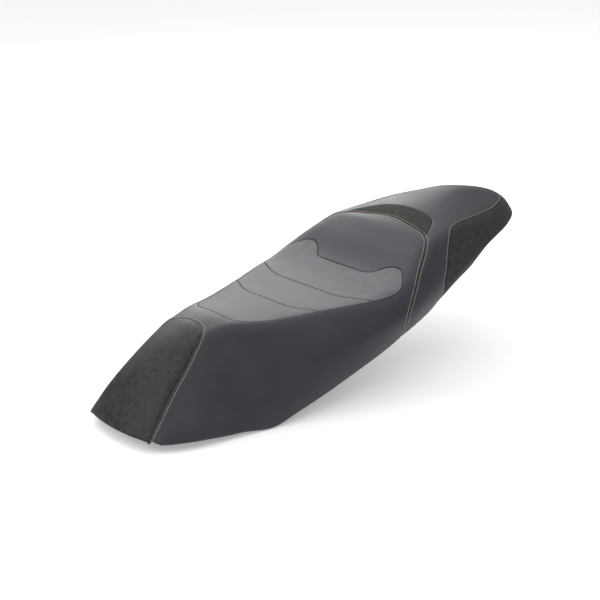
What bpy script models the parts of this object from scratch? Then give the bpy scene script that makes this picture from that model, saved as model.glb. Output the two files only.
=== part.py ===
"""Two-up scooter seat: moulded pan, foam core, sewn cover panels, front hinge, rear striker.

Metres, +Z up.  The nose points to -Y and the tail to +Y; the seat is symmetric about x = 0.
The padded shape is one surface seat_point(u, s): u runs from nose to tail, s runs from the
crown (0) over the shoulder to the lower edge (1).  Every cover panel is a patch of it.
"""
import math

import bmesh
import bpy
import numpy as np
from mathutils import Matrix, Vector

NAME = "scooter_seat"

# ---------------------------------------------------------------- driving dimensions
SHIFT_Y = -0.4005          # moves the seat so its middle is over the origin
SHIFT_Z = 0.0124           # moves the lowest edge to z = 0
TAIL_START = 0.620         # from here the plan is rounded off towards the tail
TAIL_END = 0.810           # rearmost point
NOSE_BOW = 0.010           # how far the nose bulges forward at the middle
NOSE_HALF = 0.071          # half width of the nose at its lower edge
NOSE_LIP = 0.001           # where the covers start at the nose

COVER_THICK = 0.0025       # cover material with its sewn-in scrim foam
FOAM_INSET = 0.0045        # foam surface below the outer surface
PAN_INSET = 0.0050         # pan rim outer face inside the outer surface
PAN_WALL = 0.0030
RIB_DROP = 0.008
RIB_THICK = 0.0025
SEAM_GAP = 0.0003
WELT_RADIUS = 0.0016
WELT_GAP = 0.0023          # panel edge back from the middle of a welt

# y, crown z, shoulder x, z and radius, widest x, z, skirt crease x, z, lower edge x, z
STATIONS = np.array([
    (0.000, 0.002, 0.071, 0.001, 0.004, 0.073, 0.000, 0.074, -0.001, 0.074, -0.002),
    (0.030, 0.042, 0.064, 0.039, 0.008, 0.082, 0.018, 0.092, 0.004, 0.094, -0.002),
    (0.070, 0.086, 0.054, 0.079, 0.012, 0.088, 0.038, 0.107, 0.006, 0.109, -0.003),
    (0.110, 0.118, 0.046, 0.113, 0.016, 0.087, 0.057, 0.114, 0.006, 0.116, -0.006),
    (0.135, 0.129, 0.047, 0.125, 0.018, 0.089, 0.062, 0.118, 0.004, 0.120, -0.007),
    (0.180, 0.134, 0.061, 0.130, 0.022, 0.102, 0.063, 0.128, 0.002, 0.128, -0.012),
    (0.230, 0.131, 0.080, 0.127, 0.024, 0.120, 0.066, 0.138, 0.019, 0.136, 0.003),
    (0.310, 0.132, 0.106, 0.131, 0.026, 0.142, 0.080, 0.148, 0.046, 0.143, 0.029),
    (0.395, 0.138, 0.134, 0.138, 0.028, 0.158, 0.096, 0.153, 0.074, 0.145, 0.056),
    (0.450, 0.152, 0.141, 0.1540, 0.030, 0.160, 0.110, 0.153, 0.092, 0.143, 0.075),
    (0.500, 0.184, 0.126, 0.182, 0.030, 0.154, 0.124, 0.147, 0.106, 0.137, 0.090),
    (0.535, 0.202, 0.117, 0.197, 0.030, 0.146, 0.134, 0.141, 0.118, 0.130, 0.103),
    (0.590, 0.212, 0.111, 0.2015, 0.030, 0.137, 0.150, 0.129, 0.136, 0.118, 0.121),
    (0.635, 0.2180, 0.110, 0.203, 0.030, 0.130, 0.163, 0.117, 0.146, 0.107, 0.132),
    (0.665, 0.2215, 0.110, 0.2045, 0.030, 0.127, 0.172, 0.113, 0.160, 0.104, 0.152),
    (0.700, 0.2235, 0.109, 0.2060, 0.030, 0.125, 0.180, 0.113, 0.170, 0.105, 0.162),
    (0.750, 0.2245, 0.108, 0.2110, 0.028, 0.123, 0.186, 0.115, 0.175, 0.109, 0.167),
    (0.810, 0.2245, 0.106, 0.211, 0.026, 0.121, 0.184, 0.115, 0.173, 0.110, 0.165),
])

# underside of the pan floor: flat for the hinge, one straight ramp, flat for the striker
FLOOR = np.array([
    (0.000, -0.006), (0.034, 0.019), (0.205, 0.019), (0.250, 0.030), (0.690, 0.176),
    (0.705, 0.178), (0.830, 0.178),
])
RAMP_START = FLOOR[3]
RAMP_END = FLOOR[4]

# seams, each as (u, s) from the crown outwards
U_END = TAIL_START + (TAIL_END - TAIL_START) * math.pi / 2
NOSE_SEAM = ((0.141, 0.0), (0.141, 0.04), (0.138, 0.16), (0.128, 0.30), (0.112, 0.42),
             (0.090, 0.49), (0.060, 0.495), (0.030, 0.50), (NOSE_LIP, 0.50))
STEP_SEAM = ((0.555, 0.0), (0.555, 0.02), (0.552, 0.06), (0.547, 0.12), (0.542, 0.195),
             (0.534, 0.262), (0.526, 0.31), (0.514, 0.357), (0.500, 0.40), (0.471, 0.47), (0.448, 0.60),
             (0.434, 0.82), (0.434, 1.0))
STEP_CORNER = 5            # knot of the step seam where the step panel ends
PATCH_REAR = ((0.597, 0.0), (0.597, 0.03), (0.596, 0.06), (0.593, 0.105))
PATCH_SIDE = ((0.593, 0.105), (0.588, 0.142), (0.579, 0.172), (0.560, 0.212), (0.534, 0.262))
TAIL_SEAM_SIDE = ((0.532, 1.0), (0.530, 0.82), (0.543, 0.70), (0.564, 0.50), (0.580, 0.385))
TAIL_SEAM_CORNER = ((0.580, 0.385), (0.592, 0.325), (0.606, 0.297))
TAIL_SEAM_TOP = ((0.606, 0.297), (0.625, 0.285), (0.660, 0.292), (0.700, 0.312),
                 (0.760, 0.348), (0.830, 0.365), (U_END, 0.365))
INSERT_FRONT = ((0.180, 0.0), (0.180, 0.13), (0.182, 0.21), (0.187, 0.27), (0.198, 0.312))
INSERT_SIDE_A = ((0.198, 0.312), (0.231, 0.324), (0.268, 0.335), (0.305, 0.342))
INSERT_SIDE_B = ((0.305, 0.342), (0.335, 0.347), (0.364, 0.356), (0.388, 0.376))
INSERT_SIDE_C = ((0.388, 0.376), (0.406, 0.398), (0.424, 0.416), (0.438, 0.398))
INSERT_REAR = ((0.438, 0.398), (0.449, 0.33), (0.459, 0.275), (0.467, 0.235), (0.468, 0.195),
               (0.464, 0.155), (0.455, 0.125), (0.446, 0.105), (0.442, 0.075), (0.442, 0.03),
               (0.442, 0.0))
FOLD_A = ((0.282, 0.0), (0.282, 0.11), (0.286, 0.165), (0.295, 0.245), (0.305, 0.342))
FOLD_B = ((0.361, 0.0), (0.361, 0.12), (0.367, 0.19), (0.376, 0.265), (0.388, 0.376))

# hinge at the nose: pivot line along X
PIVOT_Y, PIVOT_Z = 0.045, 0.0075
PIN_RADIUS = 0.003
EAR_RADIUS = 0.0065
SEAT_EAR = (0.0185, 0.0215)
FRAME_EAR = (0.0245, 0.0275)
SEAT_LEAF = (0.036, 0.052, 0.104, 0.0162, 0.0187)      # half width, y from, y to, z from, z to
FRAME_LEAF = (0.040, 0.050, 0.122, 0.0002, 0.0030)
HINGE_BOLT = (0.024, 0.080)
FRAME_HOLE = (0.024, 0.098)
HOLE_SLACK = 0.0003

# striker at the tail
STRIKER_Y = 0.736
STRIKER_LEAF = (0.040, 0.722, 0.750, 0.1752, 0.1777)
HOOP_RADIUS = 0.004
HOOP_HALF = 0.016
HOOP_LOW = 0.1390
HOOP_BEND = 0.010
STRIKER_BOLT = (0.031, 0.736)
BOLT_RADIUS = 0.003
BOLT_HEAD = 0.0058
BOLT_HEAD_TALL = 0.004

# rubber bumpers under the pan: name, x, y
BUMPERS = (("front", 0.088, 0.148), ("mid", 0.104, 0.3375), ("rear", 0.098, 0.4875),
           ("tail", 0.057, 0.742))
BUMPER_RADIUS = 0.012
BUMPER_TALL = 0.012
BUMPER_STEM = 0.004

RIB_ROWS = (0.125, 0.168, 0.230, 0.300, 0.375, 0.450, 0.525, 0.600, 0.660)
RIB_COLUMN = 0.045


# ---------------------------------------------------------------- the padded surface
def knot_slopes(knots, values):
    """Slopes at the knots of a curve that never overshoots them."""
    step = np.diff(knots)
    rise = np.diff(values, axis=0) / step[:, None]
    slope = np.zeros_like(values)
    slope[0] = rise[0]
    slope[-1] = rise[-1]
    for k in range(1, len(knots) - 1):
        same = rise[k - 1] * rise[k] > 0
        first = 2 * step[k] + step[k - 1]
        second = step[k] + 2 * step[k - 1]
        safe_a = np.where(same, rise[k - 1], 1.0)
        safe_b = np.where(same, rise[k], 1.0)
        slope[k] = np.where(same, (first + second) / (first / safe_a + second / safe_b), 0.0)
    return slope


def smooth_through(knots, values, slope, at):
    """Cubic value at one position, through the knots."""
    at = min(max(at, knots[0]), knots[-1])
    k = int(np.clip(np.searchsorted(knots, at) - 1, 0, len(knots) - 2))
    span = knots[k + 1] - knots[k]
    t = (at - knots[k]) / span
    lift = (1 + 2 * t) * (1 - t) ** 2 * values[k] + t * t * (3 - 2 * t) * values[k + 1]
    bend = t * (1 - t) ** 2 * slope[k] - t * t * (1 - t) * slope[k + 1]
    return lift + span * bend


STATION_SLOPES = knot_slopes(STATIONS[:, 0], STATIONS[:, 1:])
SPLINE_KNOTS = (0, 0, 0, 0, 0.2, 0.4, 0.6, 0.8, 1, 1, 1, 1)
section_store = {}


def section_frame(y):
    """Control points (x, z) of the half section at y, crown first."""
    key = round(y, 7)
    if key not in section_store:
        row = smooth_through(STATIONS[:, 0], STATIONS[:, 1:], STATION_SLOPES, y)
        zc, xs, zs, r, xm, zm, xk, zk, xb, zb = row
        corner = np.array((xs, zs))
        down = np.array((xm, zm)) - corner
        down = down / max(np.linalg.norm(down), 1e-9)
        turn = corner + r * down
        section_store[key] = np.array((
            (0.0, zc), (0.4 * (xs - r), zc), (xs - r, zs + 0.35 * (zc - zs)), corner, turn,
            (xm, zm), (xk, zk), (xb, zb)))
    return section_store[key]


def section_at(y, s):
    """Point (x, z) on the half section, by repeated blending of the control points."""
    frame = section_frame(y)
    s = min(max(s, 0.0), 1.0)
    span = min(int(s * 5), 4) + 3
    work = [frame[j + span - 3] for j in range(4)]
    for level in range(1, 4):
        for j in range(3, level - 1, -1):
            low = SPLINE_KNOTS[j + span - 3]
            high = SPLINE_KNOTS[j + 1 + span - level]
            share = (s - low) / (high - low)
            work[j] = (1 - share) * work[j - 1] + share * work[j]
    return work[3]


def widest_at(y):
    """Largest half width of the section at y."""
    key = ("wide", round(y, 7))
    if key not in section_store:
        section_store[key] = max(section_at(y, k / 40)[0] for k in range(41))
    return section_store[key]


def seat_point(u, s):
    """Outer surface of the padded seat, +X half."""
    if u <= TAIL_START:
        y = u
        x, z = section_at(y, s)
    else:
        turn = min((u - TAIL_START) / (TAIL_END - TAIL_START), math.pi / 2)
        reach = math.sin(turn)
        level = TAIL_START + (TAIL_END - TAIL_START) * reach
        wide = section_at(level, s)[0]
        end = TAIL_END - (widest_at(level) - wide)
        y = TAIL_START + (end - TAIL_START) * reach
        x = wide * math.cos(turn)
        z = section_at(y, s)[1]
    bow = max(0.0, 1 - y / 0.16) ** 1.5 * max(0.0, 1 - (x / NOSE_HALF) ** 2)
    return np.array((x, y - NOSE_BOW * bow, z))


def seat_normal(u, s):
    """Outward direction of the surface."""
    u = min(max(u, 0.002), U_END - 0.004)
    s = min(max(s, 0.004), 0.996)
    along = seat_point(u + 0.002, s) - seat_point(u - 0.002, s)
    around = seat_point(u, s + 0.004) - seat_point(u, s - 0.004)
    out = np.cross(around, along)
    return out / np.linalg.norm(out)


def below(u, s, depth):
    """Point under the surface by depth, kept on the middle plane where the seat closes."""
    normal = seat_normal(u, s)
    if s < 1e-6 or u > U_END - 1e-6:
        normal[0] = 0.0
        normal = normal / np.linalg.norm(normal)
    point = seat_point(u, s) - depth * normal
    if s < 1e-6 or u > U_END - 1e-6:
        point[0] = 0.0
    return point


def placed(point):
    return Vector((point[0], point[1] + SHIFT_Y, point[2] + SHIFT_Z))


def floor_under(y):
    """Height of the underside of the pan floor."""
    return float(np.interp(y, FLOOR[:, 0], FLOOR[:, 1]))


def floor_top(y):
    return floor_under(y) + PAN_WALL


# ---------------------------------------------------------------- scene, materials, helpers
for stale in list(bpy.data.objects):
    bpy.data.objects.remove(stale, do_unlink=True)

parts = bpy.data.collections.new(NAME)
bpy.context.scene.collection.children.link(parts)
cutters = bpy.data.collections.new("cutters")
bpy.context.scene.collection.children.link(cutters)


def material(name, colour, rough, metal=0.0):
    made = bpy.data.materials.new(name)
    made.use_nodes = True
    shader = made.node_tree.nodes["Principled BSDF"]
    shader.inputs["Base Color"].default_value = (*colour, 1.0)
    shader.inputs["Roughness"].default_value = rough
    shader.inputs["Metallic"].default_value = metal
    return made


CHARCOAL = material("charcoal_vinyl", (0.055, 0.058, 0.067), 0.48)
GREY = material("grey_insert_vinyl", (0.21, 0.21, 0.22), 0.55)
GRAIN = material("grained_black_vinyl", (0.022, 0.022, 0.024), 0.42)
SUEDE = material("black_suede_vinyl", (0.030, 0.029, 0.026), 0.85)
WELT = material("black_piping", (0.012, 0.012, 0.010), 0.5)
FOAM = material("moulded_foam", (0.55, 0.50, 0.36), 0.95)
PLASTIC = material("moulded_pan_plastic", (0.018, 0.018, 0.019), 0.5)
ZINC = material("zinc_plated_steel", (0.55, 0.56, 0.57), 0.35, 1.0)
BLACK_STEEL = material("black_painted_steel", (0.02, 0.02, 0.02), 0.45)
NYLON = material("white_nylon", (0.62, 0.61, 0.57), 0.45)
RUBBER = material("black_rubber", (0.015, 0.015, 0.015), 0.8)


def add_part(name, mesh, finish, home=parts):
    made = bpy.data.objects.new(name, mesh)
    if finish:
        mesh.materials.append(finish)
    home.objects.link(made)
    if home is cutters:
        made.hide_render = True
        made.display_type = "WIRE"
    return made


def closed_mesh(name, bm):
    bmesh.ops.recalc_face_normals(bm, faces=bm.faces)
    if bm.calc_volume(signed=True) < 0:
        bmesh.ops.reverse_faces(bm, faces=bm.faces)
    mesh = bpy.data.meshes.new(name)
    bm.to_mesh(mesh)
    bm.free()
    return mesh


def boolean(target, tool, kind):
    step = target.modifiers.new(tool.name, "BOOLEAN")
    step.operation = kind
    step.solver = "EXACT"
    step.object = tool


def run(knots, count):
    """count + 1 points (u, s) evenly along a smooth curve through the knots."""
    knots = np.array(knots, dtype=float)
    gaps = np.diff(knots, axis=0) * (1.0, 0.25)
    along = np.concatenate(((0.0,), np.cumsum(np.hypot(gaps[:, 0], gaps[:, 1]))))
    slope = knot_slopes(along, knots)
    places = np.linspace(0.0, along[-1], count + 1)
    return [smooth_through(along, knots, slope, at) for at in places]


def patch(front, rear, middle, side, fade=1):
    """Grid of (u, s) filling four edges; front and rear run crown to side.

    A higher fade keeps the shape of the middle and side edges close to them.
    """
    wide = len(front) - 1
    deep = len(middle) - 1
    grid = []
    for i in range(wide + 1):
        a = i / wide
        column = []
        for j in range(deep + 1):
            b = j / deep
            bend_near = middle[j] - (1 - b) * front[0] - b * rear[0]
            bend_far = side[j] - (1 - b) * front[wide] - b * rear[wide]
            spot = (1 - b) * front[i] + b * rear[i]
            column.append(spot + (1 - a) ** fade * bend_near + a ** fade * bend_far)
        grid.append(column)
    return grid


def same_place(u, s):
    return round(float(u), 6), round(float(s), 6)


def on_middle(u, s):
    return s < 1e-6 or u > U_END - 1e-6


def skin(name, grids, seams, finish):
    """Cover panel: the grids as the outer face, an inner face below it, and a closed rim.

    Each seam is (its points, how far the panel stops short of it): plus where the panel lies
    to the left of the run seen from outside, minus where it lies to the right.
    """
    faces = []
    spots = {}
    for grid in grids:
        for i in range(len(grid) - 1):
            for j in range(len(grid[0]) - 1):
                loop = (grid[i][j], grid[i + 1][j], grid[i + 1][j + 1], grid[i][j + 1])
                keys = [same_place(*spot) for spot in loop]
                faces.append(keys)
                for key in keys:
                    spots.setdefault(key, [below(*key, 0.0), below(*key, COVER_THICK)])
    for seam, distance in seams:
        line = [below(u, s, 0.0) for u, s in seam]
        for k, (u, s) in enumerate(seam):
            tangent = line[min(k + 1, len(line) - 1)] - line[max(k - 1, 0)]
            if on_middle(u, s):
                tangent = line[1] - line[0] if k == 0 else line[-1] - line[-2]
                tangent = tangent * (1, 0, 0)
            inward = np.cross(seat_normal(u, s), tangent)
            inward = inward / np.linalg.norm(inward)
            key = same_place(u, s)
            if on_middle(u, s):
                inward = inward * (0, 1, 1)
            spots[key] = [spot + distance * inward for spot in spots[key]]
    bm = bmesh.new()
    twins = {}
    made = {}

    def corner(key, sign):
        if on_middle(*key):
            sign = 0
        if (key, sign) not in made:
            flip = (sign, 1, 1)
            top = bm.verts.new(placed(spots[key][0] * flip))
            made[(key, sign)] = top
            twins[top] = bm.verts.new(placed(spots[key][1] * flip))
        return made[(key, sign)]

    for sign in (1, -1):
        for keys in faces:
            loop = list(dict.fromkeys(corner(key, sign) for key in keys))
            if len(loop) > 2:
                bm.faces.new(loop[::sign])
                bm.faces.new([twins[v] for v in loop[::-sign]])
    for edge in list(bm.edges):
        first, second = edge.verts
        if edge.is_boundary and first in twins and second in twins:
            bm.faces.new((first, second, twins[second], twins[first]))
    return add_part(name, closed_mesh(name, bm), finish)


def loft_into(bm, rings):
    """Closed solid through rings of equal count, capped at both ends."""
    rows = [[bm.verts.new(placed(p)) for p in ring] for ring in rings]
    count = len(rows[0])
    for near, far in zip(rows, rows[1:]):
        for k in range(count):
            bm.faces.new((near[k], near[(k + 1) % count], far[(k + 1) % count], far[k]))
    bm.faces.new(rows[0][::-1])
    bm.faces.new(rows[-1])


def side_point(u, height, inset):
    """Inset point of the side wall at a given height, searched from the lower edge up."""
    low, high = 0.45, 1.0
    for step in range(24):
        mid = 0.5 * (low + high)
        if below(u, mid, inset)[2] > height:
            low = mid
        else:
            high = mid
    return below(u, 0.5 * (low + high), inset)


def plug_rings(places, inset, top_of, bottom_of):
    """Full-width rings of the space inside the lower edge, one for each u."""
    rings = []
    for u in places:
        y = below(u, 1.0, inset)[1]
        upper = side_point(u, top_of(y), inset)
        lower = below(u, 1.0, inset)
        upper[1] = y
        high = top_of(y)
        low = bottom_of(y, seat_point(u, 1.0)[2])
        right = [(0, y, high), (upper[0], y, high), (lower[0], y, low), (0, y, low)]
        left = [(-x, v, w) for x, v, w in right[2:0:-1]]
        rings.append([np.array(p) for p in right + left])
    return rings


def box_into(bm, low, high):
    low = placed(low)
    high = placed(high)
    size = high - low
    spot = Matrix.Translation((low + high) / 2) @ Matrix.Diagonal((*size, 1.0))
    bmesh.ops.create_cube(bm, size=1.0, matrix=spot)


def rod_into(bm, centre, radius, length, sides, turn=None):
    """Capped cylinder centred on a point; along Z unless turned."""
    spot = Matrix.Translation(placed(centre)) @ (turn or Matrix.Identity(4))
    bmesh.ops.create_cone(bm, cap_ends=True, segments=sides, radius1=radius, radius2=radius,
                          depth=length, matrix=spot)


ALONG_X = Matrix.Rotation(math.radians(90), 4, "Y")


def ramp_turn(y):
    """Turn that stands a fastener square to the pan floor at y."""
    if RAMP_START[0] < y < RAMP_END[0]:
        rise = RAMP_END - RAMP_START
        return Matrix.Rotation(math.atan2(rise[1], rise[0]), 4, "X")
    return Matrix.Identity(4)


# ---------------------------------------------------------------- cover panels
def joined(*runs):
    """Runs end to end, without repeating the shared points."""
    whole = list(runs[0])
    for piece in runs[1:]:
        whole.extend(piece[1:])
    return whole


ACROSS = 11
HALF_GAP = SEAM_GAP / 2
nose_side = run(NOSE_SEAM[4:], 6)
nose_top = run(NOSE_SEAM[:5], ACROSS)
nose_grid = patch(run(((NOSE_LIP, 0.0), (NOSE_LIP, 0.50)), ACROSS), nose_top,
                  run(((NOSE_LIP, 0.0), (0.141, 0.0)), 6), nose_side[::-1])
skin("nose_panel", [nose_grid], [(joined(nose_top, nose_side), -WELT_GAP)], GRAIN)

insert_front = run(INSERT_FRONT, ACROSS)
fold_a = run(FOLD_A, ACROSS)
fold_b = run(FOLD_B, ACROSS)
insert_rear = run(INSERT_REAR, ACROSS)[::-1]
side_a = run(INSERT_SIDE_A, 4)
side_b = run(INSERT_SIDE_B, 3)
side_c = run(INSERT_SIDE_C, 3)
skin("rider_insert_front",
     [patch(insert_front, fold_a, run(((0.180, 0.0), (0.282, 0.0)), 4), side_a)],
     [(insert_front, HALF_GAP), (side_a, HALF_GAP), (fold_a, -HALF_GAP)], GREY)
skin("rider_insert_middle",
     [patch(fold_a, fold_b, run(((0.282, 0.0), (0.361, 0.0)), 3), side_b)],
     [(fold_a, HALF_GAP), (side_b, HALF_GAP), (fold_b, -HALF_GAP)], GREY)
skin("rider_insert_rear",
     [patch(fold_b, insert_rear, run(((0.361, 0.0), (0.442, 0.0)), 3), side_c)],
     [(fold_b, HALF_GAP), (side_c, HALF_GAP), (insert_rear, -HALF_GAP)], GREY)

# rider cover: a bridge in front of the insert, the side skirt, and the backrest behind it
bridge_side = run((NOSE_SEAM[4], INSERT_SIDE_A[0]), 4)
bridge = patch(nose_top, insert_front, run(((0.141, 0.0), (0.180, 0.0)), 4), bridge_side)
rest_side = run((INSERT_REAR[0], STEP_SEAM[8]), 6)
step_upper = run(STEP_SEAM[:STEP_CORNER + 1], 5)
step_middle = run(STEP_SEAM[STEP_CORNER:9], 6)
step_lower = run(STEP_SEAM[8:], 6)
rest_rear = joined(step_upper, step_middle)
backrest = patch(insert_rear, rest_rear, run(((0.442, 0.0), (0.555, 0.0)), 6), rest_side)
skirt_top = joined(nose_side[::-1], bridge_side, side_a, side_b, side_c, rest_side)
skirt_low = run(((0.014, 1.0), (0.120, 1.0), (0.240, 1.0), (0.350, 1.0), (0.434, 1.0)),
                len(skirt_top) - 1)
skirt_tip = run(((NOSE_LIP, 0.50), (0.006, 0.80), (0.014, 1.0)), 6)
skirt = patch(skirt_top, skirt_low, skirt_tip, step_lower)
skin("rider_cover", [bridge, skirt, backrest],
     [(joined(nose_top, nose_side), WELT_GAP), (joined(rest_rear, step_lower), -WELT_GAP),
      (joined(insert_front, side_a, side_b, side_c, insert_rear[::-1]), -HALF_GAP)],
     CHARCOAL)

patch_rear = run(PATCH_REAR, 5)
patch_side = run(PATCH_SIDE, 5)
step_rest = joined(step_middle, step_lower)
skin("step_panel",
     [patch(step_upper, patch_rear, run(((0.555, 0.0), (0.597, 0.0)), 5), patch_side[::-1])],
     [(step_upper, WELT_GAP), (joined(patch_rear, patch_side), -HALF_GAP)], SUEDE)

cover_front = joined(patch_rear, patch_side, step_rest)
tail_top = run(TAIL_SEAM_TOP, 12)
tail_side = joined(run(TAIL_SEAM_SIDE, 7), run(TAIL_SEAM_CORNER, 3))
tail_seam = joined(tail_side, tail_top)
cover_middle = joined(run(((0.597, 0.0), (U_END, 0.0)), 4), run(((U_END, 0.0), (U_END, 0.365)), 4))
cover_low = run(((0.434, 1.0), (0.532, 1.0)), 8)
skin("passenger_cover", [patch(cover_front, tail_seam[::-1], cover_middle, cover_low, 3)],
     [(joined(patch_rear, patch_side), HALF_GAP), (step_rest, WELT_GAP), (tail_seam, WELT_GAP)],
     CHARCOAL)

band_low = run(((0.532, 1.0), (0.640, 1.0), (0.760, 1.0), (U_END, 1.0)), 12)
band_rear = run(((U_END, 0.365), (U_END, 1.0)), 10)
skin("tail_panel", [patch(tail_side, band_rear[::-1], band_low, tail_top)],
     [(tail_seam, -WELT_GAP)], SUEDE)


# ---------------------------------------------------------------- piping in the sewn seams
def tube(name, path, radius, finish, sides=1):
    """Round cord or rod with closed ends along a path of points."""
    curve = bpy.data.curves.new(name, "CURVE")
    curve.dimensions = "3D"
    curve.bevel_depth = radius
    curve.bevel_resolution = sides
    curve.use_fill_caps = True
    line = curve.splines.new("POLY")
    line.points.add(len(path) - 1)
    for k, point in enumerate(path):
        line.points[k].co = (*placed(point), 1.0)
    curve.materials.append(finish)
    made = bpy.data.objects.new(name, curve)
    parts.objects.link(made)
    return made


def welt(name, seam):
    """Piping on both halves of a seam given from the crown to the lower edge."""
    half = [below(u, s, 0.0004) for u, s in seam]
    other = [p * (-1, 1, 1) for p in half[:0:-1]]
    tube(name, other + half, WELT_RADIUS, WELT)


welt("welt_nose", joined(nose_top, nose_side))
welt("welt_step", joined(rest_rear, step_lower)[:-1] + [np.array((0.434, 0.985))])
welt("welt_tail", tail_seam[:0:-1] + [np.array((0.532, 0.985))])

# ---------------------------------------------------------------- foam core
foam_places = [0.045, 0.06, 0.08, 0.10, 0.12, 0.15, 0.18, 0.205, 0.25, 0.29, 0.33, 0.37, 0.41,
               0.44, 0.47, 0.50, 0.525, 0.55, 0.58, 0.62, 0.65, 0.69, 0.72, 0.76, 0.80, 0.84, 0.875]
FOAM_LEVELS = 9
foam_rings = []
for u in foam_places:
    base_y = below(u, 1.0, FOAM_INSET)[1]
    foot = side_point(u, floor_top(base_y) + 0.004, FOAM_INSET)
    top = [below(u, 0.55 * k / (FOAM_LEVELS - 2), FOAM_INSET) for k in range(FOAM_LEVELS - 1)]
    low = np.array((foot[0], foot[1], floor_top(foot[1]) + 0.001))
    mid_low = np.array((0.0, foot[1], floor_top(foot[1]) + 0.001))
    right = top + [foot, low]
    left = [p * (-1, 1, 1) for p in right[:0:-1]]
    foam_rings.append(right + [mid_low] + left)
foam_mesh = bmesh.new()
loft_into(foam_mesh, foam_rings)
add_part("foam_core", closed_mesh("foam_core", foam_mesh), FOAM)

# ---------------------------------------------------------------- moulded pan
pan_places = [0.010, 0.022, 0.034, 0.05, 0.07, 0.10, 0.135, 0.165, 0.18, 0.205, 0.25, 0.29, 0.33,
              0.37, 0.41, 0.45, 0.49, 0.53, 0.57, 0.60, 0.62, 0.635, 0.65, 0.665, 0.69, 0.705,
              0.74, 0.78, 0.82, 0.86, 0.89, 0.905]
pan_mesh = bmesh.new()
loft_into(pan_mesh, plug_rings(pan_places, PAN_INSET, floor_top, lambda y, edge: edge - 0.0004))
pan = add_part("seat_pan", closed_mesh("seat_pan", pan_mesh), PLASTIC)

inner_inset = PAN_INSET + PAN_WALL
hollow_places = [0.030] + pan_places[3:-2] + [0.882]
hollow_mesh = bmesh.new()
loft_into(hollow_mesh, plug_rings(hollow_places, inner_inset,
                                  lambda y: floor_under(y) - RIB_DROP,
                                  lambda y, edge: edge - 0.02))
hollow = add_part("pan_hollow", closed_mesh("pan_hollow", hollow_mesh), None, cutters)
boolean(pan, hollow, "DIFFERENCE")


def cell_into(bm, start, stop, x_from):
    """Pocket between two cross ribs; to the side wall, or the middle one when x_from is None."""
    places = [start] + [u for u in pan_places if start + 0.004 < u < stop - 0.004] + [stop]
    rings = plug_rings(places, inner_inset, floor_under, lambda y, edge: edge)
    for sign in ((1,) if x_from is None else (1, -1)):
        shaped = []
        for ring in rings:
            y = ring[0][1]
            high = floor_under(y)
            low = high - RIB_DROP - 0.002
            if x_from is None:
                reach = RIB_COLUMN - RIB_THICK / 2
                corners = ((-reach, high), (reach, high), (reach, low), (-reach, low))
            else:
                wide = min(ring[1][0], ring[2][0])
                corners = ((x_from, high), (wide, high), (wide, low), (x_from, low))
            shaped.append([np.array((sign * x, y, z)) for x, z in corners])
        loft_into(bm, shaped)


cells = bmesh.new()
for start, stop in zip(RIB_ROWS, RIB_ROWS[1:]):
    cell_into(cells, start + RIB_THICK / 2, stop - RIB_THICK / 2, None)
    cell_into(cells, start + RIB_THICK / 2, stop - RIB_THICK / 2, RIB_COLUMN + RIB_THICK / 2)
for start, stop in ((0.036, RIB_ROWS[0] - RIB_THICK / 2), (RIB_ROWS[-1] + RIB_THICK / 2, 0.875)):
    places = [start] + [u for u in pan_places if start + 0.004 < u < stop - 0.004] + [stop]
    open_rings = plug_rings(places, inner_inset, floor_under,
                            lambda y, edge: floor_under(y) - RIB_DROP - 0.002)
    loft_into(cells, open_rings)
cell_tool = add_part("pan_cells", closed_mesh("pan_cells", cells), None, cutters)
boolean(pan, cell_tool, "DIFFERENCE")

holes = bmesh.new()
for sign in (1, -1):
    for spot in (HINGE_BOLT, STRIKER_BOLT):
        rod_into(holes, (sign * spot[0], spot[1], floor_under(spot[1])),
                 BOLT_RADIUS + HOLE_SLACK, 0.016, 12)
    for label, x, y in BUMPERS:
        rod_into(holes, (sign * x, y, floor_under(y)), BUMPER_STEM + HOLE_SLACK, 0.016, 12,
                 ramp_turn(y))
hole_tool = add_part("pan_holes", closed_mesh("pan_holes", holes), None, cutters)
boolean(pan, hole_tool, "DIFFERENCE")


# ---------------------------------------------------------------- hinge at the nose
def cutter_mesh(name, shapes):
    """Cutter made of boxes (low, high) and rods (centre, radius, length, sides, turn)."""
    bm = bmesh.new()
    for shape in shapes:
        if len(shape) == 2:
            box_into(bm, *shape)
        else:
            rod_into(bm, *shape)
    return add_part(name, closed_mesh(name, bm), None, cutters)


def leaf(name, plate, ear, lug_low, lug_high, bolt_spots, hole_radius, finish):
    """Hinge half: flat plate, two ears round the pivot, bolt holes."""
    half, y_from, y_to, z_from, z_to = plate
    bm = bmesh.new()
    box_into(bm, (-half, y_from, z_from), (half, y_to, z_to))
    made = add_part(name, closed_mesh(name, bm), finish)
    middle = 0.5 * (ear[0] + ear[1])
    thick = ear[1] - ear[0]
    lugs = []
    barrels = []
    for sign in (1, -1):
        lugs.append(((sign * middle - thick / 2, PIVOT_Y - 0.0001, lug_low),
                     (sign * middle + thick / 2, y_from + 0.010, lug_high)))
        barrels.append(((sign * middle, PIVOT_Y, PIVOT_Z), EAR_RADIUS, thick, 16, ALONG_X))
    boolean(made, cutter_mesh(name + "_lugs", lugs), "UNION")
    boolean(made, cutter_mesh(name + "_barrels", barrels), "UNION")
    drill = [((0, PIVOT_Y, PIVOT_Z), PIN_RADIUS + HOLE_SLACK, 0.08, 12, ALONG_X)]
    for sign in (1, -1):
        drill.append(((sign * bolt_spots[0], bolt_spots[1], z_from), hole_radius, 0.02, 12, None))
    boolean(made, cutter_mesh(name + "_drill", drill), "DIFFERENCE")
    return made


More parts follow.
